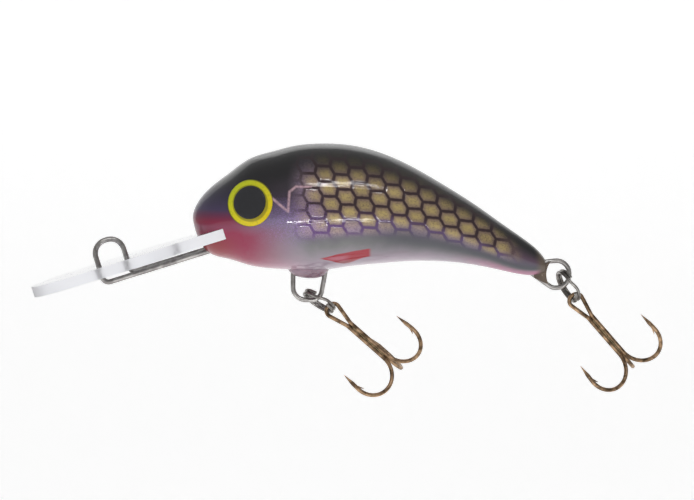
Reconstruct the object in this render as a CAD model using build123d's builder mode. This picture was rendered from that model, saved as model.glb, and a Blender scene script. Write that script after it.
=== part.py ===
"""Deep-diving crankbait lure: hollow two-piece body, clear diving lip, through-lip
line tie, belly and tail hangers, split rings and treble hooks.

Frame: +X runs from head to tail, +Z is up, the fish's left side faces -Y.
The origin is the middle of the line-tie eye, where the line is knotted.
All sizes are in millimetres.
"""
import os
from math import cos, sin, tan, radians, sqrt

from build123d import *

os.makedirs("parts", exist_ok=True)

# --------------------------------------------------------------- driving sizes
# Body
body_length = 50.0
body_height = 17.9
body_width = 15.2
wall = 1.1
nose_behind_eye = 11.7        # nose tip, behind the line-tie eye
nose_above_eye = 5.0          # nose tip, above the line-tie eye
cavity_first, cavity_last = 5, 12      # body stations between which it is hollow
seam_clearance = 0.01

# Diving lip
lip_angle = 17.3              # nose-up slope of the plate, degrees
lip_thickness = 1.5
lip_ahead = 11.95             # from the line-tie eye to the lip's front edge
lip_blade_width = 15.0
lip_root_width = 9.6
lip_seat_depth = 4.7          # how far the slot reaches behind the nose tip
lip_neck = 11.0               # where the parallel root begins to flare
lip_shoulder = 4.5            # where the blade reaches its full width
lip_round = -4.5              # where its rounded front begins
lip_clearance = 0.03

# Line tie, belly hanger and tail hanger wires
tie_wire = 0.76
tie_span = 4.0
tie_height = 2.0              # eye centre above the lip's middle plane
tie_loop_radius = 1.9
tie_drop = 0.45               # gap between the lip and the wires under it
tie_strand_gap = 0.04
tie_low_strand = 0.3          # how much lower the front strand runs
tie_anchor = 8.6              # where the wires end, behind the nose tip
tie_anchor_rise = 1.9         # height of the turned-up ends inside the body
tie_end_bend = 0.8
tie_front_bend = 0.9
hanger_wire = 0.69
hanger_from_nose = 14.1       # front leg of the belly hanger
hanger_span = 4.0
hanger_spread = 1.2           # how much further apart the legs are at the top
hanger_drop = 4.25            # below the belly
hanger_bend = 1.8
hanger_rear_bend = 1.44
hanger_slant = 0.2            # how much further forward the rear leg starts
hanger_foot = 1.9             # length of the feet held in the keel block
hanger_foot_bend = 0.7
hanger_bury = 1.0             # depth of the feet below the keel block's top
tail_wire = 0.68
tail_loop_reach = 3.5         # behind the body's end
tail_loop_height = 4.05
tail_loop_above = 1.84        # top of the loop, above the body's end
tail_bend = 1.8
tail_anchor_reach = 6.4       # how far the wire runs into the body
tail_anchor_rise = 1.6
tail_anchor_dip = 1.1
tail_anchor_bend = 0.6
tail_low_run = 2.4            # level run at the bottom of the loop
tail_low_bend = 1.4
tail_return = ((2.1, 0.05), (3.4, 0.2))    # the end's corners, ahead of and above the end
tail_return_bend = 0.5
channel_clearance = 0.02

# Eyes
eye_behind_nose = 9.6
eye_above_nose = 1.2
iris_diameter = 6.55
pupil_diameter = 4.6
eye_depth = 0.6
eye_tilt = 0.2                # how much the eyes look up
eye_span = 2.0                # how far to each side the cheek's slope is taken
iris_stand = 0.08
pupil_stand = 0.16

# Inside the body
rib_places = (13.0, 22.0, 28.5)        # behind the nose tip
rib_thickness = 1.0
keel_top = -3.2                        # hanger block, above the nose tip
post_place = (33.5, -0.3)              # joining post behind and above the nose tip
post_diameter = 3.4
front_pin = (6.2, 3.2)                 # joining pin behind and above the nose tip
tail_pin = (5.9, 3.533)                # joining pin ahead of and above the body's end
pin_diameter = 1.5
pin_length = 1.8
pin_clearance = 0.04
tube_diameter = 4.8
tube_bore = 3.8
tube_length = 17.4
tube_from_nose = 12.1
tube_above_nose = 3.0
cap_thickness = 0.8
spigot_length = 1.0
ball_diameter = 3.4
ballast_diameter = 4.2
ballast_length = 8.4
ballast_from_nose = 21.4
ballast_above_nose = -2.6
ballast_chamfer = 0.4
ball_room = 0.1                        # play between the ball and each end of its run
fit_clearance = 0.02
overlap = 0.5                          # how far added pieces reach into their neighbours

# Belly boss: height from the belly, shift, and half width and depth of each oval
boss_centre = 2.2                      # behind the hanger's front leg
boss_ovals = ((0.9, 0.0, 3.3, 2.3), (-0.35, 0.0, 2.6, 1.7), (-1.15, 0.3, 0.8, 0.55))

# Lacquer round the tail wire, behind and above the end of the body
resin_edge = ((0.9, 1.6), (-1.5, 0.6), (-1.5, -0.7), (-0.6, -1.2), (0.6, -1.7))
resin_hollow = (0.25, 0.0)
resin_half_width = 0.55
body_shadow = 0.01                     # clearance of both from the body

# Split rings
ring_diameter = 5.1
ring_wire = 0.46
coil_gap = 0.02
ring_jog = 56.0               # crossover between the two coils, degrees

# Treble hooks
hook_wire = 0.58
strand_gap = 0.03
eye_bend = 0.89
eye_apex, eye_half = 0.87, 1.2         # corners of the eye's outline
neck_bend = 0.9
neck_along = 3.0
bend_end = 13.0
gape = 6.45
bend_radius = 3.1
point_along = 7.0
point_lean = 0.4
point_length = 1.7
barb_along = 9.4
barb_length = 1.15
barb_rise = 0.55
barb_sink = 0.08
tip_radius = 0.03
barb_radius = 0.2
braze_start, braze_end = 3.7, 9.6
braze_radius = 0.3
braze_clearance = 0.005

# Rest pose of the rings and hooks: degrees below level, degrees of roll, and each
# ring's centre behind and above the point of the wire that it hangs on
front_ring_dip, front_ring_roll = 33.9, 18.0
rear_ring_dip, rear_ring_roll = 62.0, 16.4
front_ring_seat = 1.7         # where the front ring hangs, ahead of the rear leg
rear_ring_seat = 0.31         # where the rear ring hangs, as a share of the lower bend
front_ring_offset = (1.39, -0.15)
rear_ring_offset = (0.05, -0.80)
front_hook_dip, rear_hook_dip = 41.6, 49.0

# ------------------------------------------------------------------ body shape
# One row a station: share of the length behind the nose, heights of the back and
# of the belly from the nose tip as shares of the height, and share of the width.
stations = (
    (0.010, 0.098, -0.126, 0.25),
    (0.030, 0.179, -0.235, 0.42),
    (0.060, 0.260, -0.299, 0.59),
    (0.100, 0.344, -0.327, 0.74),
    (0.160, 0.462, -0.377, 0.88),
    (0.220, 0.517, -0.402, 0.96),
    (0.290, 0.566, -0.413, 1.00),
    (0.360, 0.582, -0.416, 1.00),
    (0.430, 0.574, -0.389, 0.97),
    (0.510, 0.527, -0.366, 0.895),
    (0.600, 0.425, -0.346, 0.78),
    (0.700, 0.268, -0.346, 0.625),
    (0.800, 0.091, -0.378, 0.465),
    (0.880, -0.068, -0.425, 0.34),
    (0.950, -0.207, -0.456, 0.23),
    (0.990, -0.322, -0.432, 0.15),
)
nose = Vector(nose_behind_eye, 0, nose_above_eye)


def behind_nose(along, up):
    """A point on the middle plane, measured from the nose tip."""
    return nose + Vector(along, 0, up)


def outline_at(along):
    """Back height, belly height and half width at a distance behind the nose."""
    share = along / body_length
    for low, high in zip(stations, stations[1:]):
        if share <= high[0]:
            break
    t = (share - low[0]) / (high[0] - low[0])
    back, belly, width = (a + t * (b - a) for a, b in zip(low[1:], high[1:]))
    return back * body_height, belly * body_height, width * body_width / 2


def station_sketch(row, grow):
    """The oval section of the body at one station, grown by a margin."""
    along, back, belly, width = row
    middle = behind_nose(along * body_length, (back + belly) / 2 * body_height)
    with BuildSketch(Plane(origin=middle, x_dir=(0, 1, 0), z_dir=(1, 0, 0))) as section:
        Ellipse(width * body_width / 2 + grow, (back - belly) / 2 * body_height + grow)
    return section.sketch


def body_form(grow):
    """The whole outer form of the body, grown or shrunk by a margin."""
    tip = Vertex(*(nose - Vector(grow, 0, 0)))
    with BuildPart() as form:
        loft(sections=[tip] + [station_sketch(row, grow) for row in stations])
    return form.part


def cavity_form():
    """The hollow between the nose block and the tail block."""
    rows = stations[cavity_first:cavity_last + 1]
    with BuildPart() as form:
        loft(sections=[station_sketch(row, -wall) for row in rows])
    return form.part


# -------------------------------------------------------------------- wirework
def wire_along(points, radii, diameter):
    """A round wire along straight runs joined by arcs."""
    with BuildPart() as wire:
        with BuildLine() as path:
            FilletPolyline(*points, radius=radii)
        with BuildSketch(Plane(origin=path.line @ 0, z_dir=path.line % 0)):
            Circle(diameter / 2)
        sweep()
    return wire.part


lip_slope = radians(lip_angle)
lip_normal = Vector(-sin(lip_slope), 0, cos(lip_slope))
lip_plane = Plane(
    origin=lip_normal * -tie_height,
    x_dir=(cos(lip_slope), 0, sin(lip_slope)),
    z_dir=lip_normal,
)


def lip_reach(x):
    """Distance along the lip's plane of a place on X."""
    return (x - lip_plane.origin.X) / cos(lip_slope)


def tie_points():
    """Hairpin: back under the lip, up through it, over the eye and back again."""
    side = tie_wire / 2 + channel_clearance + tie_strand_gap / 2
    top = tie_height + tie_loop_radius
    run = -(lip_thickness / 2 + tie_drop + tie_wire / 2)
    low_run = run - tie_low_strand
    end = lip_reach(nose.X + tie_anchor)
    leg = tie_span / 2
    local = (
        (end, side, run + tie_anchor_rise),
        (end, side, run),
        (leg, side, run),
        (leg, side, top),
        (-leg, -side, top),
        (-leg, -side, low_run),
        (end, -side, low_run),
        (end, -side, run + tie_anchor_rise),
    )
    return [lip_plane.from_local_coords(point) for point in local]


tie_radii = [tie_end_bend, tie_end_bend, tie_loop_radius, tie_loop_radius]
tie_radii += [tie_front_bend, tie_end_bend]

hanger_x = nose.X + hanger_from_nose
belly_z = nose.Z + outline_at(hanger_from_nose + hanger_span / 2)[1]
hanger_low = belly_z - hanger_drop
hanger_top = nose.Z + keel_top - hanger_bury
hanger_rear = hanger_x + hanger_span
hanger_points = [
    Vector(hanger_x - hanger_foot, 0, hanger_top),
    Vector(hanger_x, 0, hanger_top),
    Vector(hanger_x, 0, hanger_low),
    Vector(hanger_rear - hanger_slant, 0, hanger_low),
    Vector(hanger_rear + hanger_spread, 0, hanger_top),
    Vector(hanger_rear + hanger_spread + hanger_foot, 0, hanger_top),
]
hanger_radii = [hanger_foot_bend, hanger_bend, hanger_rear_bend, hanger_foot_bend]

tail_share = stations[-1][0]
tail = behind_nose(body_length * tail_share, outline_at(body_length * tail_share)[1])
loop_right = tail.X + tail_loop_reach
loop_top = tail.Z + tail_loop_above
loop_low = loop_top - tail_loop_height
tail_anchor = tail.X - tail_anchor_reach
tail_points = [
    Vector(tail_anchor, 0, loop_top - tail_anchor_dip + tail_anchor_rise),
    Vector(tail_anchor, 0, loop_top - tail_anchor_dip),
    Vector(loop_right, 0, loop_top),
    Vector(loop_right, 0, loop_low),
    Vector(loop_right - tail_low_run, 0, loop_low),
    *[tail + Vector(-ahead, 0, above) for ahead, above in tail_return],
]
tail_radii = [tail_anchor_bend, tail_bend, tail_bend, tail_low_bend, tail_return_bend]

tie_channel = wire_along(tie_points(), tie_radii, tie_wire + 2 * channel_clearance)
hanger_channel = wire_along(hanger_points, hanger_radii, hanger_wire + 2 * channel_clearance)
tail_channel = wire_along(tail_points, tail_radii, tail_wire + 2 * channel_clearance)


def save(piece, name):
    """Label a finished piece and write it as its own node."""
    piece.label = name
    export_step(piece, f"parts/{name}.step")


with BuildPart() as line_tie_wire:
    add(wire_along(tie_points(), tie_radii, tie_wire))
save(line_tie_wire.part, "line_tie_wire")

with BuildPart() as belly_hanger_wire:
    add(wire_along(hanger_points, hanger_radii, hanger_wire))
save(belly_hanger_wire.part, "belly_hanger_wire")

with BuildPart() as tail_hanger_wire:
    add(wire_along(tail_points, tail_radii, tail_wire))
save(tail_hanger_wire.part, "tail_hanger_wire")

# ------------------------------------------------------------------ diving lip
lip_root = lip_reach(nose.X + lip_seat_depth)
with BuildPart() as diving_lip:
    with BuildSketch(lip_plane):
        with BuildLine():
            end = Line((lip_root, 0), (lip_root, lip_root_width / 2))
            root = Line(end @ 1, (lip_neck, lip_root_width / 2))
            shoulder = (lip_shoulder, lip_blade_width / 2)
            Spline(root @ 1, shoulder, tangents=[(-1, 0), (-1, 0)])
            Line(shoulder, (lip_round, lip_blade_width / 2))
            EllipticalCenterArc(
                (lip_round, 0), lip_ahead + lip_round, lip_blade_width / 2, 90, arc_size=90
            )
            mirror(about=Plane.XZ)
        make_face()
    extrude(amount=lip_thickness / 2, both=True)
    add(tie_channel, mode=Mode.SUBTRACT)
save(diving_lip.part, "diving_lip")

# ----------------------------------------------------------- body, before split
outer = body_form(0)
eye_middle = behind_nose(eye_behind_nose, eye_above_nose)
ahead_width = outline_at(eye_behind_nose - eye_span)[2]
behind_width = outline_at(eye_behind_nose + eye_span)[2]
eye_yaw = (behind_width - ahead_width) / (2 * eye_span)


def eye_plane(side):
    """The plane of an eye, square to the cheek, on the side given by the sign of Y."""
    return Plane(origin=eye_middle, x_dir=(1, side * eye_yaw, 0), z_dir=(-eye_yaw, side, eye_tilt))


def across(place, diameter, start, length):
    """A round bar along Y at a place behind and above the nose."""
    plane = Plane(origin=behind_nose(*place), x_dir=(1, 0, 0), z_dir=(0, 1, 0))
    with BuildPart() as bar:
        with BuildSketch(plane.offset(start)):
            Circle(diameter / 2)
        extrude(amount=length)
    return bar.part


def along_body(start, up, diameter, length):
    """A round bar along X that starts at a place behind and above the nose."""
    plane = Plane(origin=behind_nose(start, up), x_dir=(0, 1, 0), z_dir=(1, 0, 0))
    with BuildPart() as bar:
        with BuildSketch(plane):
            Circle(diameter / 2)
        extrude(amount=length)
    return bar.part


def eye_bar(side, diameter):
    """A round bar through the eye's place, square to the cheek."""
    with BuildPart() as bar:
        with BuildSketch(eye_plane(side)):
            Circle(diameter / 2)
        extrude(amount=body_width)
    return bar.part


to_tail = tail - nose
pin_places = (front_pin, post_place, (to_tail.X - tail_pin[0], to_tail.Z + tail_pin[1]))


def half_form(side):
    """One half of the body's outer form, on the side given by the sign of Y."""
    align = Align.MIN if side > 0 else Align.MAX
    with BuildPart() as form:
        with Locations(behind_nose(body_length / 2, 0) + Vector(0, side * seam_clearance / 2, 0)):
            block = (Align.CENTER, align, Align.CENTER)
            Box(2 * body_length, body_width, 4 * body_height, align=block)
        add(outer, mode=Mode.INTERSECT)
    return form.part


def slab(half, start, length, top):
    """A half's full section between two places behind the nose, below a height."""
    with BuildPart() as block:
        with Locations(behind_nose(start + length / 2, top - body_height)):
            Box(length, 2 * body_width, 2 * body_height)
        add(half, mode=Mode.INTERSECT)
    return block.part


def post(half):
    """The round post that joins the two halves behind the ballast."""
    with BuildPart() as bar:
        add(across(post_place, post_diameter, -body_width, 2 * body_width))
        add(half, mode=Mode.INTERSECT)
    return bar.part


def eye_seat(side):
    """What is cut away for an eye."""
    with BuildPart() as seat:
        add(eye_bar(side, iris_diameter + 2 * fit_clearance))
        add(body_form(-eye_depth), mode=Mode.SUBTRACT)
    return seat.part


with BuildPart() as lip_slot:
    with BuildSketch(lip_plane):
        with Locations((lip_root + lip_clearance, 0)):
            Rectangle(lip_ahead + lip_root, 2 * body_width, align=(Align.MAX, Align.CENTER))
    extrude(amount=lip_thickness / 2 + lip_clearance, both=True)

tube_seat = along_body(
    tube_from_nose - fit_clearance, tube_above_nose,
    tube_diameter + 2 * fit_clearance, tube_length + 2 * fit_clearance,
)
ballast_seat = along_body(
    ballast_from_nose - fit_clearance, ballast_above_nose,
    ballast_diameter + 2 * fit_clearance, ballast_length + 2 * fit_clearance,
)
cavity = cavity_form()


def body_half(side):
    """One moulded half: shell, ribs, keel block, post, and every seat cut in it."""
    half = half_form(side)
    with BuildPart() as body:
        add(half)
        add(cavity, mode=Mode.SUBTRACT)
        for place in rib_places:
            add(slab(half, place - rib_thickness / 2, rib_thickness, body_height))
        add(slab(half, rib_places[0], rib_places[1] - rib_places[0], keel_top))
        add(post(half))
        for seat in (tube_seat, ballast_seat, tie_channel, hanger_channel, tail_channel):
            add(seat, mode=Mode.SUBTRACT)
        add(lip_slot.part, mode=Mode.SUBTRACT)
        add(eye_seat(side), mode=Mode.SUBTRACT)
    return body.part


with BuildPart() as body_left_half:
    add(body_half(-1))
    for place in pin_places:
        deep = pin_length + 5 * pin_clearance
        add(across(place, pin_diameter + 2 * pin_clearance, -deep, deep), mode=Mode.SUBTRACT)
save(body_left_half.part, "body_left_half")

with BuildPart() as body_right_half:
    add(body_half(1))
    for place in pin_places:
        add(across(place, pin_diameter, -pin_length, pin_length + overlap))
save(body_right_half.part, "body_right_half")

# ------------------------------------------------------------------------ eyes
for side, name in ((-1, "left"), (1, "right")):
    with BuildPart() as eye_iris:
        add(eye_bar(side, iris_diameter))
        add(body_form(iris_stand), mode=Mode.INTERSECT)
        add(body_form(-eye_depth + fit_clearance), mode=Mode.SUBTRACT)
        add(eye_bar(side, pupil_diameter + 2 * fit_clearance), mode=Mode.SUBTRACT)
    save(eye_iris.part, f"{name}_eye_iris")
    with BuildPart() as eye_pupil:
        add(eye_bar(side, pupil_diameter))
        add(body_form(pupil_stand), mode=Mode.INTERSECT)
        add(body_form(-eye_depth + fit_clearance), mode=Mode.SUBTRACT)
    save(eye_pupil.part, f"{name}_eye_pupil")

# -------------------------------------------------------- ballast and rattle
with BuildPart() as ballast_weight:
    add(along_body(ballast_from_nose, ballast_above_nose, ballast_diameter, ballast_length))
    chamfer(ballast_weight.edges().filter_by(GeomType.CIRCLE), ballast_chamfer)
save(ballast_weight.part, "ballast_weight")

bore_length = tube_length - 2 * cap_thickness
with BuildPart() as rattle_tube:
    add(along_body(tube_from_nose, tube_above_nose, tube_diameter, tube_length - cap_thickness))
    bore = along_body(tube_from_nose + cap_thickness, tube_above_nose, tube_bore, bore_length)
    add(bore, mode=Mode.SUBTRACT)
save(rattle_tube.part, "rattle_tube")

cap_start = tube_from_nose + tube_length - cap_thickness
with BuildPart() as rattle_tube_cap:
    add(along_body(cap_start, tube_above_nose, tube_diameter, cap_thickness))
    spigot = tube_bore - 2 * fit_clearance
    add(along_body(cap_start - spigot_length, tube_above_nose, spigot, spigot_length))
save(rattle_tube_cap.part, "rattle_tube_cap")

ball_place = tube_from_nose + cap_thickness + ball_diameter / 2 + ball_room
ball_travel = bore_length - spigot_length - ball_diameter - 2 * ball_room
with BuildPart() as rattle_ball:
    with Locations(behind_nose(ball_place, tube_above_nose)):
        Sphere(ball_diameter / 2)
save(rattle_ball.part, "rattle_ball")
print("ball travel", ball_travel)

# ------------------------------------------------------ belly boss, tail resin
with BuildPart() as belly_boss:
    for height, shift, half_length, half_width in boss_ovals:
        with BuildSketch(Plane.XY.offset(belly_z + height)):
            with Locations((hanger_x + boss_centre + shift, 0)):
                Ellipse(half_length, half_width)
    loft()
    add(body_form(body_shadow), mode=Mode.SUBTRACT)
    add(hanger_channel, mode=Mode.SUBTRACT)
save(belly_boss.part, "belly_boss")

with BuildPart() as tail_resin:
    with BuildSketch(Plane(origin=tail, x_dir=(1, 0, 0), z_dir=(0, -1, 0))):
        with BuildLine():
            Polyline(*resin_edge)
            ThreePointArc(resin_edge[-1], resin_hollow, resin_edge[0])
        make_face()
    extrude(amount=resin_half_width, both=True)
    add(body_form(body_shadow), mode=Mode.SUBTRACT)
    add(tail_channel, mode=Mode.SUBTRACT)
save(tail_resin.part, "tail_resin")

# ----------------------------------------------------------------- split rings
coil_radius = (ring_diameter - ring_wire) / 2


def level_direction(dip):
    """A direction on the middle plane, tailward and down by an angle."""
    return Vector(cos(radians(dip)), 0, -sin(radians(dip)))


def ring_frame(pivot, offset, dip, roll):
    """A ring's plane: local X points from the hanger to the hook."""
    out = level_direction(dip)
    up = Vector(sin(radians(dip)), 0, cos(radians(dip)))
    near_side = Vector(0, -cos(radians(roll)), 0) + up * sin(radians(roll))
    centre = pivot + Vector(offset[0], 0, offset[1])
    return Plane(origin=centre, x_dir=out, z_dir=out.cross(near_side))


def ring_coils():
    """Two flat coils of one wire, joined by a short crossover on the X axis."""
    lift = (ring_wire + coil_gap) / 2
    half = radians(ring_jog / 2)
    turn = 360 - ring_jog
    with BuildPart() as ring:
        with BuildLine() as path:
            CenterArc((0, 0, -lift), coil_radius, ring_jog / 2, turn)
            Spline(
                (coil_radius * cos(half), -coil_radius * sin(half), -lift),
                (coil_radius, 0, 0),
                (coil_radius * cos(half), coil_radius * sin(half), lift),
                tangents=[(sin(half), cos(half), 0), (-sin(half), cos(half), 0)],
            )
            CenterArc((0, 0, lift), coil_radius, ring_jog / 2, turn)
        with BuildSketch(Plane(origin=path.line @ 0, z_dir=path.line % 0)):
            Circle(ring_wire / 2)
        sweep()
    return ring.part


def split_ring(frame):
    """A ring in its frame, with the crossover away from the hanger and the hook."""
    place = Plane(origin=frame.origin, x_dir=frame.y_dir, z_dir=frame.z_dir)
    return coils.moved(place.location)


coils = ring_coils()


def corner_pivot(corner, before, after, radius, share):
    """A point on a wire's arc at a corner, and the wire's direction there."""
    back, ahead = (before - corner).normalized(), (after - corner).normalized()
    half_turn = radians(back.get_angle(ahead)) / 2
    middle = (back + ahead).normalized()
    centre = corner + middle * (radius / sin(half_turn))
    foot = (corner + back * (radius / tan(half_turn)) - centre)
    other = (corner + ahead * (radius / tan(half_turn)) - centre)
    spoke = (foot * (1 - share) + other * share).normalized()
    return centre + spoke * radius, Vector(0, 1, 0).cross(spoke)


front_pivot = Vector(hanger_rear - front_ring_seat, 0, hanger_low)
rear_pivot, rear_axis = corner_pivot(
    tail_points[3], tail_points[2], tail_points[4], tail_bend, rear_ring_seat
)
front_ring_frame = ring_frame(
    front_pivot, front_ring_offset, front_ring_dip, front_ring_roll
)
rear_ring_frame = ring_frame(rear_pivot, rear_ring_offset, rear_ring_dip, rear_ring_roll)
with BuildPart() as front_split_ring:
    add(split_ring(front_ring_frame))
save(front_split_ring.part, "front_split_ring")
with BuildPart() as rear_split_ring:
    add(split_ring(rear_ring_frame))
save(rear_split_ring.part, "rear_split_ring")

# ---------------------------------------------------------------- treble hooks
strand = (hook_wire + strand_gap) / 2


def hook_frame(eye, dip):
    """Local X down the shank, local Y across the pair, local Z to the third hook."""
    return Plane(origin=eye, x_dir=level_direction(dip), z_dir=(0, 1, 0))


def bend_corners(foot, direction):
    """Corners of one hook from its point back to the foot of its shank strand."""
    base_share = point_length / (bend_end - point_along)
    reach = gape - point_lean * (1 - base_share)
    base = Vector(point_along + point_length, 0, 0) + foot + direction * reach
    corner = Vector(bend_end, 0, 0) + foot + direction * gape
    return base, corner, Vector(bend_end, 0, 0) + foot


def spike(root, way, radius, end_radius, length):
    """A cone from a root along a direction."""
    with Locations(Plane(origin=root, z_dir=way)):
        stand = (Align.CENTER, Align.CENTER, Align.MIN)
        Cone(radius, end_radius, length, align=stand)


def add_point(frame, foot, direction):
    """The tapered point and the barb at the end of one hook."""
    base = frame.from_local_coords(bend_corners(foot, direction)[0])
    tip_place = Vector(point_along, 0, 0) + foot + direction * (gape - point_lean)
    tip = frame.from_local_coords(tip_place)
    inward = (frame.from_local_coords(direction * -1) - frame.origin).normalized()
    back = (base - tip).normalized()
    spike(base, back * -1, hook_wire / 2, tip_radius, (base - tip).length)
    root = base + back * (barb_along - point_along - point_length) + inward * barb_sink
    rise = (back * barb_length + inward * (barb_rise + hook_wire / 4)).normalized()
    spike(root, rise, barb_radius, tip_radius, barb_length)


upper_way = Vector(0, cos(radians(30)), -sin(radians(30)))
lower_way = Vector(0, -cos(radians(30)), -sin(radians(30)))
away_way = Vector(0, 0, 1)
upper_foot, lower_foot = Vector(0, strand, 0), Vector(0, -strand, 0)
third_foot = Vector(0, 0, strand * sqrt(3))


def pair_corners():
    """Corners of the wire that makes the eye and two of the hooks."""
    upper = bend_corners(upper_foot, upper_way)
    lower = bend_corners(lower_foot, lower_way)
    eye_run = [
        Vector(neck_along, strand, 0),
        Vector(-eye_apex, eye_half, 0),
        Vector(-eye_apex, -eye_half, 0),
        Vector(neck_along, -strand, 0),
    ]
    return [*upper, *eye_run, *reversed(lower)]


for name, ring, dip in (
    ("front", front_ring_frame, front_hook_dip),
    ("rear", rear_ring_frame, rear_hook_dip),
):
    eye = ring.from_local_coords((coil_radius, 0, 0))
    frame = hook_frame(eye, dip)
    pair_path = [frame.from_local_coords(v) for v in pair_corners()]
    third = [*bend_corners(third_foot, away_way), Vector(neck_along, 0, 0) + third_foot]
    third_path = [frame.from_local_coords(v) for v in third]
    bends = [bend_radius, bend_radius]
    pair_radii = [*bends, neck_bend, eye_bend, eye_bend, neck_bend, *bends]

    with BuildPart() as hook_pair:
        add(wire_along(pair_path, pair_radii, hook_wire))
        add_point(frame, upper_foot, upper_way)
        add_point(frame, lower_foot, lower_way)
    save(hook_pair.part, f"{name}_hook_pair")

    with BuildPart() as hook_third:
        add(wire_along(third_path, bends, hook_wire))
        add_point(frame, third_foot, away_way)
    save(hook_third.part, f"{name}_hook_third")

    with BuildPart() as hook_braze:
        start = frame.from_local_coords((braze_start, 0, strand / sqrt(3)))
        with BuildSketch(Plane(origin=start, x_dir=frame.y_dir, z_dir=frame.x_dir)):
            Circle(braze_radius)
            with PolarLocations(2 * strand / sqrt(3), 3, start_angle=90):
                Circle(hook_wire / 2 + braze_clearance, mode=Mode.SUBTRACT)
        extrude(amount=braze_end - braze_start)
    save(hook_braze.part, f"{name}_hook_braze")
    print(name, "hook eye", eye)
print("ring pivots", front_pivot, rear_pivot, rear_axis)
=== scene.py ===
"""Looks, light and camera of the painted diving lure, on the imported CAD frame."""

import math

import bpy
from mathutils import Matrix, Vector


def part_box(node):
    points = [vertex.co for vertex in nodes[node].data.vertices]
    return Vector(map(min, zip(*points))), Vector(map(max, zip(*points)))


MM = 0.001
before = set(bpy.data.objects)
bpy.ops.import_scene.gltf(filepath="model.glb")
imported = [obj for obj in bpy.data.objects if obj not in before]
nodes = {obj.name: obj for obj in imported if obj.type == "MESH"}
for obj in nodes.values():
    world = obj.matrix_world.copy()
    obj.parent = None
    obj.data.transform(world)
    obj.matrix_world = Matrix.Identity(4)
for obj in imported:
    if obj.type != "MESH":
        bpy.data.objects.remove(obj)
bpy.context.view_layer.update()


def srgb(red, green, blue):
    """A screen colour, 0 to 255 a channel, in Blender's linear numbers."""
    shares = [channel / 255 for channel in (red, green, blue)]
    linear = [s / 12.92 if s <= 0.04045 else ((s + 0.055) / 1.055) ** 2.4 for s in shares]
    return (*linear, 1.0)


class Value:
    """A number in a node tree, so that sums in a material read as sums."""

    def __init__(self, tree, socket):
        self.tree = tree
        self.socket = socket

    def make(self, operation, *terms):
        """A math node on terms that are values or plain numbers."""
        node = self.tree.nodes.new("ShaderNodeMath")
        node.operation = operation
        for place, term in zip(node.inputs, terms):
            if isinstance(term, Value):
                self.tree.links.new(term.socket, place)
            else:
                place.default_value = term
        return Value(self.tree, node.outputs[0])

    def __add__(self, other):
        return self.make("ADD", self, other)

    def __radd__(self, other):
        return self.make("ADD", other, self)

    def __sub__(self, other):
        return self.make("SUBTRACT", self, other)

    def __rsub__(self, other):
        return self.make("SUBTRACT", other, self)

    def __mul__(self, other):
        return self.make("MULTIPLY", self, other)

    def __rmul__(self, other):
        return self.make("MULTIPLY", other, self)

    def __truediv__(self, other):
        return self.make("DIVIDE", self, other)

    def __abs__(self):
        return self.make("ABSOLUTE", self)

    def part(self):
        return self.make("FRACT", self)

    def floor(self):
        return self.make("FLOOR", self)

    def least(self, other):
        return self.make("MINIMUM", self, other)

    def most(self, other):
        return self.make("MAXIMUM", self, other)

    def root(self):
        return self.make("SQRT", self.most(0.0))

    def over(self, limit):
        return self.make("GREATER_THAN", self, limit)

    def rise(self, low, high):
        """0 below low, 1 above high, and smooth between, also with low above high."""
        node = self.tree.nodes.new("ShaderNodeMapRange")
        node.interpolation_type = "SMOOTHSTEP"
        self.tree.links.new(self.socket, node.inputs["Value"])
        falling = low > high
        node.inputs["From Min"].default_value = high if falling else low
        node.inputs["From Max"].default_value = low if falling else high
        node.inputs["To Min"].default_value = 1.0 if falling else 0.0
        node.inputs["To Max"].default_value = 0.0 if falling else 1.0
        return Value(self.tree, node.outputs["Result"])

    def hill(self, middle, reach):
        """1 at middle, falling smoothly to 0 at reach on both sides of it."""
        return abs(self - middle).rise(reach, 0.0)


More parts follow.
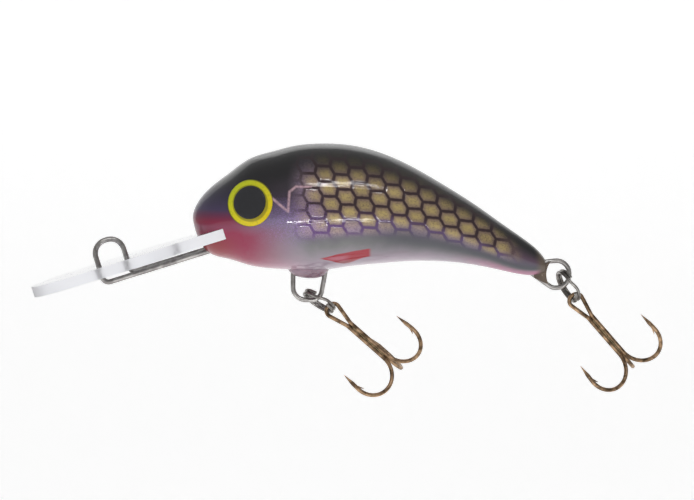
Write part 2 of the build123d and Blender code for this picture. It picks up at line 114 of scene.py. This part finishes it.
class Look:
    """One material in the making, measured in millimetres in the lure's own frame."""

    def __init__(self, name):
        self.material = bpy.data.materials.new(name)
        self.material.use_nodes = True
        self.tree = self.material.node_tree
        self.shader = self.tree.nodes["Principled BSDF"]
        place = self.tree.nodes.new("ShaderNodeTexCoord")
        scale = self.tree.nodes.new("ShaderNodeVectorMath")
        scale.operation = "SCALE"
        scale.inputs["Scale"].default_value = 1 / MM
        self.tree.links.new(place.outputs["Object"], scale.inputs[0])
        self.place = scale.outputs[0]
        split = self.tree.nodes.new("ShaderNodeSeparateXYZ")
        self.tree.links.new(self.place, split.inputs[0])
        self.x, _, self.z = (Value(self.tree, output) for output in split.outputs)

    def stretched(self, stretch):
        node = self.tree.nodes.new("ShaderNodeVectorMath")
        node.operation = "MULTIPLY"
        self.tree.links.new(self.place, node.inputs[0])
        node.inputs[1].default_value = stretch
        return node.outputs[0]

    def noise(self, per_mm, detail=2.0, roughness=0.5, stretch=(1, 1, 1)):
        """Soft noise from 0 to 1, with per_mm cells to the millimetre."""
        node = self.tree.nodes.new("ShaderNodeTexNoise")
        self.tree.links.new(self.stretched(stretch), node.inputs["Vector"])
        node.inputs["Scale"].default_value = per_mm
        node.inputs["Detail"].default_value = detail
        node.inputs["Roughness"].default_value = roughness
        return Value(self.tree, node.outputs["Fac"])

    def flakes(self, per_mm):
        """A random number for each small flake, as in a pearl or metal-flake paint."""
        node = self.tree.nodes.new("ShaderNodeTexVoronoi")
        self.tree.links.new(self.place, node.inputs["Vector"])
        node.inputs["Scale"].default_value = per_mm
        split = self.tree.nodes.new("ShaderNodeSeparateColor")
        self.tree.links.new(node.outputs["Color"], split.inputs[0])
        return Value(self.tree, split.outputs[0])

    def random(self, first, second):
        """One random number for each pair of whole numbers."""
        join = self.tree.nodes.new("ShaderNodeCombineXYZ")
        self.tree.links.new(first.socket, join.inputs[0])
        self.tree.links.new(second.socket, join.inputs[1])
        node = self.tree.nodes.new("ShaderNodeTexWhiteNoise")
        self.tree.links.new(join.outputs[0], node.inputs["Vector"])
        return Value(self.tree, node.outputs["Value"])

    def curve(self, value, points):
        """A smooth curve through points whose numbers all lie from 0 to 1."""
        node = self.tree.nodes.new("ShaderNodeFloatCurve")
        self.tree.links.new(value.socket, node.inputs["Value"])
        line = node.mapping.curves[0]
        line.points[0].location = points[0]
        line.points[-1].location = points[-1]
        for point in points[1:-1]:
            line.points.new(*point)
        node.mapping.update()
        return Value(self.tree, node.outputs["Value"])

    def mix(self, factor, first, second):
        """The first colour where factor is 0, the second where it is 1."""
        node = self.tree.nodes.new("ShaderNodeMix")
        node.data_type = "RGBA"
        self.tree.links.new(factor.socket, node.inputs["Factor"])
        for place, colour in ((node.inputs[6], first), (node.inputs[7], second)):
            if isinstance(colour, tuple):
                place.default_value = colour
            else:
                self.tree.links.new(colour, place)
        return node.outputs[2]

    def ramp(self, value, *stops):
        """The colour of a value from 0 to 1, by stops of a position and a colour."""
        node = self.tree.nodes.new("ShaderNodeValToRGB")
        self.tree.links.new(value.socket, node.inputs[0])
        elements = node.color_ramp.elements
        elements[0].position, elements[0].color = stops[0]
        elements[1].position, elements[1].color = stops[-1]
        for position, colour in stops[1:-1]:
            elements.new(position).color = colour
        return node.outputs[0]

    def near_line(self, points, reach):
        """1 on a line drawn through points (along, height), falling to 0 at reach."""
        found = None
        for (x1, z1), (x2, z2) in zip(points, points[1:]):
            along, up = x2 - x1, z2 - z1
            length = math.hypot(along, up)
            dx, dz = self.x - x1, self.z - z1
            share = (dx * (along / length) + dz * (up / length)).most(0.0).least(length)
            away_x = dx - share * (along / length)
            away_z = dz - share * (up / length)
            away = (away_x * away_x + away_z * away_z).root()
            found = away if found is None else found.least(away)
        return found.rise(reach, 0.0)

    def bump(self, height_mm, layer="Normal"):
        """Raises the surface by height_mm, as far as light can tell."""
        node = self.tree.nodes.new("ShaderNodeBump")
        node.inputs["Strength"].default_value = 1.0
        node.inputs["Distance"].default_value = MM
        self.tree.links.new(height_mm.socket, node.inputs["Height"])
        self.tree.links.new(node.outputs[0], self.shader.inputs[layer])

    def put(self, **sockets):
        """Sets the shader's sockets: base_color=..., metallic=..., and so on."""
        for name, value in sockets.items():
            title = name.replace("_", " ").title().replace("Ior", "IOR")
            place = self.shader.inputs[title]
            if isinstance(value, Value):
                self.tree.links.new(value.socket, place)
            elif isinstance(value, bpy.types.NodeSocket):
                self.tree.links.new(value, place)
            else:
                place.default_value = value

    def paint(self, *names):
        """Gives this material to the named pieces."""
        for name in names:
            nodes[name].material_slots[0].material = self.material


# --- where the lure is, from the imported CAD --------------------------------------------
body_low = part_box("body_left_half")[0] / MM
body_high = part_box("body_left_half")[1] / MM
body_length = body_high.x - body_low.x
iris_low, iris_high = (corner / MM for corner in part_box("left_eye_iris"))

# Back and belly of the side view: share of the length behind the nose, height from 0 to 1.
BACK = [(0.0, 0.44), (0.03, 0.62), (0.10, 0.76), (0.22, 0.94), (0.36, 1.0), (0.50, 0.95)]
BACK += [(0.62, 0.83), (0.75, 0.62), (0.88, 0.375), (1.0, 0.13)]
BELLY = [(0.0, 0.44), (0.03, 0.21), (0.10, 0.12), (0.22, 0.045), (0.33, 0.035), (0.48, 0.08)]
BELLY += [(0.65, 0.105), (0.82, 0.06), (0.95, 0.0), (1.0, 0.05)]

# Where the paint changes along the lure, in millimetres behind the line-tie eye: a change
# begins at the first number and is complete at the second.
TRUNK_BEGINS = (25.0, 29.0)
FOREHEAD_BEGINS = (21.5, 18.0)
THROAT_REDDENS = (27.5, 17.5)
CHIN_REDDENS = (19.5, 14.5)
LILAC_SCALES = (31.5, 26.5)
NET_BEGINS = (25.0, 28.5)
NET_ENDS = (58.5, 54.0)
FLANK_GREYS = (33.0, 42.0)
BELLY_GREYS = (40.0, 50.0)
TAIL_PINKENS = (47.0, 57.0)
TAIL_LACQUER = (59.6, 60.9)

# The net of scales: half pitch of its columns, pitch of its rows, a scale's centre on the
# flank, how much the columns lean, and how the rows fall and bend towards the tail.
NET_COLUMN, NET_ROW = 2.27, 2.03
NET_X, NET_Z = 47.63, 5.04
NET_LEAN, NET_FALL, NET_BEND = 0.22, 0.115, 0.0022

# Raised lines on the cheek and the flank, as points along the lure and above the line tie.
GILL_LINE = [(22.6, 8.5), (25.3, 6.3), (25.5, 9.0), (26.4, 9.7), (28.4, 9.7)]
UPPER_RIDGE = [(26.8, 9.7), (30.0, 9.7), (37.5, 9.1)]
LOWER_RIDGE = [(23.8, 4.4), (31.0, 4.8), (37.6, 4.8)]
GILL_REACH, RIDGE_REACH = 0.30, 0.28

# The black of the back, the top stop of every ground colour
BLACK_BACK = srgb(8, 8, 10)


def ground_colours(look, level, soft):
    """Sprayed ground colours, from the belly (level 0) up to the back (level 1)."""
    x, z = look.x, look.z
    cloud = level + (soft - 0.5) * 0.10
    trunk = look.ramp(
        cloud,
        (0.00, srgb(172, 154, 168)),
        (0.07, srgb(158, 142, 156)),
        (0.14, srgb(140, 132, 140)),
        (0.21, srgb(116, 116, 116)),
        (0.33, srgb(84, 76, 94)),
        (0.55, srgb(84, 62, 80)),
        (0.74, srgb(50, 40, 48)),
        (0.86, srgb(20, 18, 22)),
        (1.00, BLACK_BACK),
    )
    head = look.ramp(
        cloud,
        (0.00, srgb(184, 140, 162)),
        (0.14, srgb(150, 136, 148)),
        (0.28, srgb(132, 124, 140)),
        (0.42, srgb(114, 100, 130)),
        (0.52, srgb(88, 74, 100)),
        (0.62, srgb(46, 34, 48)),
        (0.80, srgb(20, 17, 22)),
        (1.00, BLACK_BACK),
    )
    colour = look.mix(x.rise(*TRUNK_BEGINS), head, trunk)
    lip_level, forehead_height = 4.6, 8.0
    forehead = look.ramp(
        ((z - lip_level) / forehead_height).most(0.0).least(1.0),
        (0.00, srgb(138, 24, 60)),
        (0.12, srgb(104, 38, 74)),
        (0.22, srgb(66, 52, 86)),
        (0.42, srgb(48, 42, 66)),
        (0.70, srgb(20, 19, 26)),
        (1.00, BLACK_BACK),
    )
    colour = look.mix(x.rise(*FOREHEAD_BEGINS) * level.rise(0.30, 0.52), colour, forehead)

    # crimson chin and throat, darkest right behind the lip's slot
    throat = x.rise(*THROAT_REDDENS) * z.rise(5.4, 2.6)
    colour = look.mix((throat * (0.90 + soft * 0.4)).least(1.0), colour, srgb(146, 12, 66))
    chin = x.rise(*CHIN_REDDENS) * z.rise(3.4, 1.4)
    return look.mix(chin, colour, srgb(140, 0, 26))


def scale_lattice(look):
    """Distance inward from each scale's edge, and a random number for each scale.

    Two square lattices, one shifted by half a cell, make the staggered hexagons.
    """
    from_middle = look.x - NET_X
    u = from_middle - (NET_Z - look.z) * NET_LEAN
    v = look.z - NET_Z + from_middle * NET_FALL + from_middle * from_middle * NET_BEND
    across, up = u / (2 * NET_COLUMN), v / NET_ROW
    half_row = NET_ROW / 2
    half = (NET_COLUMN**2 + half_row**2) / 2
    edge = None
    for shift in (0.0, 0.5):
        a = (across + (0.5 + shift)).part() - 0.5
        b = (up + (0.5 + shift)).part() - 0.5
        a, b = abs(a * (2 * NET_COLUMN)), abs(b * NET_ROW)
        flat = half_row - b
        slant = (half - a * NET_COLUMN - b * half_row) / math.hypot(NET_COLUMN, half_row)
        inside = flat.least(slant)
        cell = look.random(
            (across + (0.5 + shift)).floor() + shift, (up + (0.5 + shift)).floor()
        )
        if edge is None:
            edge, tone = inside, cell
        else:
            tone = tone + (cell - tone) * (inside - edge).over(0.0)
            edge = edge.most(inside)
    return edge, tone


def scale_fill(look, level, edge, tone, flake):
    """Gold inside the scales, lilac in the lower rows and at the front."""
    middle = edge.rise(0.10, 0.85)
    gold = look.mix(tone * 0.6 + flake * 0.4, srgb(138, 122, 96), srgb(168, 150, 110))
    gold = look.mix(middle * (0.45 + flake * 0.55), gold, srgb(180, 158, 100))
    gold = look.mix((1.0 - middle) * 0.75, gold, srgb(124, 98, 92))
    dull = flake.rise(0.35, 0.05) * 0.5 + tone.rise(0.4, 0.0) * 0.25
    gold = look.mix(dull, gold, srgb(96, 80, 66))
    lilac = look.mix(flake, srgb(116, 94, 126), srgb(160, 138, 164))
    low = (level + (tone - 0.5) * 0.06).rise(0.44, 0.28)
    front = (look.x + (tone - 0.5) * 3.0).rise(*LILAC_SCALES)
    return look.mix(low.most(front) * 0.85, gold, lilac)


def fin_mark(look, colour, soft):
    """The red fin low on the side: a blade, pale inside and dark along its lower edge."""
    x, z = look.x, look.z
    middle_line = z + 0.45 - x.rise(32.6, 36.8) * 0.85
    half_high = x.rise(29.4, 33.2) * 0.72 - x.rise(33.6, 36.6) * 0.2 + 0.08
    reach = abs(middle_line + (soft - 0.5) * 0.25) / half_high
    fin = reach.rise(1.12, 0.86) * x.rise(29.4, 30.4) * x.rise(36.9, 36.3)
    colour = look.mix(fin * 0.97, colour, srgb(160, 0, 36))
    pale = reach.rise(0.75, 0.2) * x.rise(30.2, 31.5) * x.rise(34.2, 32.6)
    colour = look.mix(pale * 0.6, colour, srgb(180, 104, 124))
    lower_edge = (middle_line / half_high).hill(-0.8, 0.5) * x.hill(33.2, 1.8)
    return look.mix(lower_edge * fin * 0.9, colour, srgb(116, 8, 26))


def lure_paint():
    look = Look("lure_paint")
    x, z = look.x, look.z
    share = ((x - body_low.x) / body_length).most(0.0).least(1.0)
    tall = body_high.z - body_low.z
    back = look.curve(share, BACK) * tall + body_low.z
    belly = look.curve(share, BELLY) * tall + body_low.z
    level = ((z - belly) / (back - belly).most(0.5)).most(0.0).least(1.0)
    soft = look.noise(0.45, detail=3.0)
    colour = ground_colours(look, level, soft)

    # the net of scales: filled cells and the dark threads between them
    edge, tone = scale_lattice(look)
    wander = (look.noise(2.2, detail=2.0) - 0.5) * 0.16
    thread = (edge + wander).rise(0.30, 0.11)
    flake = look.flakes(9.0)
    fill = scale_fill(look, level, edge, tone, flake)
    spread = x.rise(*NET_BEGINS) * level.rise(0.25, 0.33) * x.rise(*NET_ENDS)
    net = spread * level.rise(0.97, 0.76)
    colour = look.mix(net * (0.30 + 0.70 * level.rise(0.90, 0.66)), colour, fill)
    ink = look.mix(level.rise(0.52, 0.34), srgb(50, 30, 34), srgb(84, 50, 104))
    colour = look.mix(thread * spread * level.rise(0.99, 0.84), colour, ink)

    # grey under the net, paler towards the tail
    shade = x.rise(*FLANK_GREYS) * level.hill(0.26, 0.20) * 0.85
    colour = look.mix(shade, colour, srgb(62, 62, 72))
    pale = x.rise(*BELLY_GREYS) * level.rise(0.15, 0.05) * 0.6
    colour = look.mix(pale, colour, srgb(140, 128, 140))

    # violet glitter on the cheek and the shoulder
    glitter = look.flakes(14.0).over(0.72) * x.hill(26.0, 7.0) * level.hill(0.42, 0.28)
    colour = look.mix(glitter * 0.45, colour, srgb(168, 132, 206))
    colour = fin_mark(look, colour, soft)

    # tail: brown lacquer at its very end, magenta under it
    colour = look.mix(x.rise(*TAIL_PINKENS) * level.rise(0.22, 0.08), colour, srgb(170, 112, 138))
    colour = look.mix(x.rise(*TAIL_LACQUER), colour, srgb(96, 82, 70))

    # raised lines of the gill cover and the side, with a painted highlight, a pale pink line,
    # along the gill's crest
    gill = look.near_line(GILL_LINE, GILL_REACH)
    side = look.near_line(UPPER_RIDGE, RIDGE_REACH).most(look.near_line(LOWER_RIDGE, RIDGE_REACH))
    # painted highlight on the gill's crest, broken up by noise
    painted_highlight_break = look.noise(3.0, detail=2.0).rise(0.30, 0.60)
    colour = look.mix(gill * (0.45 + painted_highlight_break * 0.35), colour, srgb(214, 176, 186))

    # relief of the paint, and a softer one of the lacquer over it
    peel = look.noise(1.3, detail=2.0)
    height = gill * 0.05 + side * 0.02 - thread * net * 0.03 + peel * 0.012
    look.bump(height + look.noise(18.0, detail=1.0) * 0.0006)
    look.bump(height * 0.4 + look.noise(4.5, detail=2.0) * spread * 0.010, "Coat Normal")
    look.put(
        base_color=colour,
        metallic=net * 0.45 + glitter * 0.3,
        roughness=0.34 + soft * 0.12 + flake * net * 0.12,
        coat_weight=1.0,
        coat_roughness=0.03,
        coat_ior=1.5,
        specular_ior_level=0.25,
    )
    look.paint("body_left_half", "body_right_half")


def eye_share(look, centre, size):
    """0 at the middle of the eye, 1 on its outline, in the side view."""
    dx = (look.x - centre.x) / (size.x / 2)
    dz = (look.z - centre.z) / (size.z / 2)
    return (dx * dx + dz * dz).root()


def eye_paint():
    """A yellow-green iris that turns to gold below, and a black pupil under clear lacquer."""
    centre, size = (iris_low + iris_high) / 2, iris_high - iris_low
    look = Look("eye_yellow")
    out = eye_share(look, centre, size)
    fine = look.noise(3.5, detail=3.0)
    tilt = ((look.x - centre.x) * 0.09 - (look.z - centre.z) * 0.11 + 0.5).most(0.0).least(1.0)
    colour = look.mix(tilt, srgb(204, 216, 34), srgb(236, 204, 8))
    colour = look.mix(fine.rise(0.45, 0.75) * 0.35, colour, srgb(160, 164, 30))
    colour = look.mix(out.rise(0.93, 1.0), colour, srgb(70, 66, 26))
    colour = look.mix(out.rise(0.80, 0.74) * 0.6, colour, srgb(96, 92, 26))
    look.bump(fine * 0.006 - out.rise(0.90, 1.0) * 0.05)
    look.put(
        base_color=colour,
        roughness=0.34 + fine * 0.14,
        specular_ior_level=0.2,
        coat_weight=0.6,
        coat_roughness=0.04,
    )
    look.paint("left_eye_iris", "right_eye_iris")

    dark = Look("eye_black")
    out = eye_share(dark, centre, size)
    fine = dark.noise(2.5, detail=3.0)
    colour = dark.mix(fine, srgb(8, 8, 11), srgb(30, 30, 38))
    colour = dark.mix(out.rise(0.66, 0.74) * 0.8, colour, srgb(44, 44, 24))
    dark.bump(fine * 0.006 - out.rise(0.60, 0.72) * 0.04)
    dark.put(
        base_color=colour, roughness=0.16 + fine * 0.12, coat_weight=1.0, coat_roughness=0.04
    )
    dark.paint("left_eye_pupil", "right_eye_pupil")


def metal(name, bright, dull, members, roughness, wear=0.4, drawn=(1, 1, 1), grain=0.004):
    """A metal with cloudy tarnish, fine drawing marks and worn spots that shine."""
    look = Look(name)
    cloud = look.noise(0.9, detail=4.0, roughness=0.6)
    fine = look.noise(9.0, detail=3.0, stretch=drawn)
    pits = look.noise(5.0, detail=2.0).rise(0.66, 0.80)
    geometry = look.tree.nodes.new("ShaderNodeNewGeometry")
    ridge = Value(look.tree, geometry.outputs["Pointiness"]).rise(0.50, 0.60)
    worn = (cloud.rise(0.35, 0.65) * 0.6 + ridge * wear).least(1.0)
    colour = look.mix(worn, dull, bright)
    colour = look.mix(pits * 0.5, colour, tuple(c * 0.3 for c in dull[:3]) + (1.0,))
    look.bump(fine * grain - pits * 0.010)
    look.put(
        base_color=colour,
        metallic=1.0,
        roughness=roughness + fine * 0.10 + (1.0 - worn) * 0.10 + pits * 0.2,
    )
    look.paint(*members)


def lip_plastic():
    """Clear sheet: polished faces, and a moulded rim that is a little milky."""
    lip = Look("clear_lip")
    scuff = lip.noise(1.6, detail=5.0, roughness=0.65, stretch=(0.35, 2.0, 1.0))
    haze = lip.noise(0.35, detail=2.0)
    moulded = lip.noise(6.0, detail=2.0, stretch=(0.5, 1.0, 2.0))
    facing = lip.tree.nodes.new("ShaderNodeNewGeometry").outputs["Normal"]
    split = lip.tree.nodes.new("ShaderNodeSeparateXYZ")
    lip.tree.links.new(facing, split.inputs[0])
    along, aside, _ = (Value(lip.tree, output) for output in split.outputs)
    rim = (aside * aside + (along * along) * 0.8).rise(0.30, 0.75)
    waves = lip.noise(0.5, detail=2.0) * 0.010
    lip.bump(waves + scuff.rise(0.62, 0.72) * 0.004 + moulded * rim * 0.02)
    lip.put(
        base_color=lip.mix(haze, srgb(252, 252, 255), srgb(246, 247, 252)),
        roughness=(0.05 + haze * 0.08 + scuff.rise(0.60, 0.78) * 0.22 + rim * 0.28).least(0.6),
        transmission_weight=1.0 - rim * 0.12,
        ior=1.49,
    )
    lip.paint("diving_lip")


def boss_resin():
    """Cloudy pink resin with small bubbles, and painted shade that darkens its lower rim."""
    boss = Look("boss_resin")
    cloud = boss.noise(1.1, detail=3.0)
    bubbles = boss.noise(4.0, detail=1.0).rise(0.66, 0.76)
    colour = boss.mix(cloud, srgb(112, 82, 100), srgb(168, 138, 154))
    # painted shade: darker towards the boss's lower rim
    colour = boss.mix(boss.z.rise(-2.5, -3.4) * 0.6, colour, srgb(112, 78, 94))
    boss.bump(cloud * 0.03 + bubbles * 0.012)
    boss.put(
        base_color=colour,
        roughness=0.22 + cloud * 0.14,
        coat_weight=1.0,
        coat_roughness=0.04,
        subsurface_weight=0.15,
        subsurface_scale=0.6 * MM,
    )
    boss.paint("belly_boss")


def tail_resin():
    """Brown clear resin in the tail loop."""
    tail = Look("clear_resin")
    cloud = tail.noise(1.6, detail=3.0)
    colour = tail.mix(cloud, srgb(82, 66, 56), srgb(136, 116, 98))
    tail.bump(cloud * 0.03)
    tail.put(
        base_color=colour,
        roughness=0.18 + cloud * 0.14,
        coat_weight=1.0,
        coat_roughness=0.05,
        transmission_weight=0.35,
    )
    tail.paint("tail_resin")


lure_paint()
eye_paint()
lip_plastic()
boss_resin()
tail_resin()
metal(
    "stainless_wire",
    srgb(198, 195, 192),
    srgb(138, 134, 132),
    ["line_tie_wire", "belly_hanger_wire", "tail_hanger_wire"],
    0.20,
    drawn=(0.25, 3.0, 3.0),
)
metal(
    "ring_steel",
    srgb(172, 169, 165),
    srgb(104, 98, 94),
    ["front_split_ring", "rear_split_ring"],
    0.18,
)
metal(
    "hook_bronze",
    srgb(214, 178, 142),
    srgb(84, 68, 52),
    ["front_hook_pair", "front_hook_third", "rear_hook_pair", "rear_hook_third"],
    0.26,
    wear=0.5,
)
metal(
    "braze_metal",
    srgb(170, 156, 124),
    srgb(104, 92, 68),
    ["front_hook_braze", "rear_hook_braze"],
    0.34,
    grain=0.012,
)
metal("ballast_metal", srgb(150, 150, 154), srgb(92, 92, 98), ["ballast_weight"], 0.45, grain=0.01)
tube_pieces = ["rattle_tube", "rattle_tube_cap"]
metal("tube_brass", srgb(206, 172, 96), srgb(140, 108, 58), tube_pieces, 0.28)
metal("ball_steel", srgb(214, 214, 216), srgb(150, 150, 154), ["rattle_ball"], 0.12)


# --- floor, light and camera --------------------------------------------------------------
def backdrop():
    """A seamless pale floor that turns up into a wall behind the lure."""
    floor_level, front, bend, radius, top, wide = -0.28, -1.2, 0.7, 0.35, 1.3, 1.8
    bend_steps = 12
    profile = [(front, floor_level)]
    for step in range(bend_steps + 1):
        turn = math.radians(90 * step / bend_steps)
        rise = radius * (1 - math.cos(turn))
        profile.append((bend + radius * math.sin(turn), floor_level + rise))
    profile.append((bend + radius, top))
    points = [(side * wide, y, z) for y, z in profile for side in (-1, 1)]
    faces = [(2 * i, 2 * i + 1, 2 * i + 3, 2 * i + 2) for i in range(len(profile) - 1)]
    mesh = bpy.data.meshes.new("floor")
    mesh.from_pydata(points, [], faces)
    mesh.shade_smooth()
    floor = bpy.data.objects.new("floor", mesh)
    bpy.context.scene.collection.objects.link(floor)
    look = Look("floor_paper")
    fibre = look.noise(0.4, detail=4.0)
    look.put(
        base_color=look.mix(fibre, srgb(240, 240, 240), srgb(250, 250, 250)),
        roughness=0.9,
        specular_ior_level=0.0,
        emission_color=(1.0, 1.0, 1.0, 1.0),
        emission_strength=0.46,
    )
    floor.data.materials.append(look.material)


def light(name, place, width, height, watts):
    """A rectangular lamp at a place, turned to the middle of the lure."""
    lamp = bpy.data.lights.new(name, "AREA")
    lamp.shape = "RECTANGLE"
    lamp.size, lamp.size_y = width, height
    lamp.energy = watts
    lamp_object = bpy.data.objects.new(name, lamp)
    lamp_object.location = place
    lamp_object.rotation_mode = "QUATERNION"
    lamp_object.rotation_quaternion = (centre - Vector(place)).to_track_quat("-Z", "Y")
    bpy.context.scene.collection.objects.link(lamp_object)


backdrop()
world = bpy.data.worlds.new("studio")
world.use_nodes = True
world.node_tree.nodes["Background"].inputs["Color"].default_value = (1.0, 1.0, 1.0, 1.0)
world.node_tree.nodes["Background"].inputs["Strength"].default_value = 0.35
bpy.context.scene.world = world
bpy.context.scene.view_settings.view_transform = "Standard"

centre = Vector((0.0334, 0.0, 0.0004))
light("upper_strip", (0.13, -0.47, 0.38), 0.36, 0.012, 0.75)
light("lower_strip", (0.08, -0.44, -0.17), 0.22, 0.012, 0.30)
light("top_box", (0.03, 0.75, 0.70), 0.60, 0.40, 0.3)

camera = bpy.data.cameras.new("camera")
camera.lens = 120
camera.sensor_width = 36
camera.clip_start, camera.clip_end = 0.01, 10
camera_object = bpy.data.objects.new("camera", camera)
elevation = math.radians(4.5)
view_width = 0.0977
distance = view_width / camera.sensor_width * camera.lens
camera_object.location = centre + distance * Vector((0, -math.cos(elevation), math.sin(elevation)))
camera_object.rotation_euler = (math.radians(90) - elevation, 0, 0)
bpy.context.scene.collection.objects.link(camera_object)
bpy.context.scene.camera = camera_object
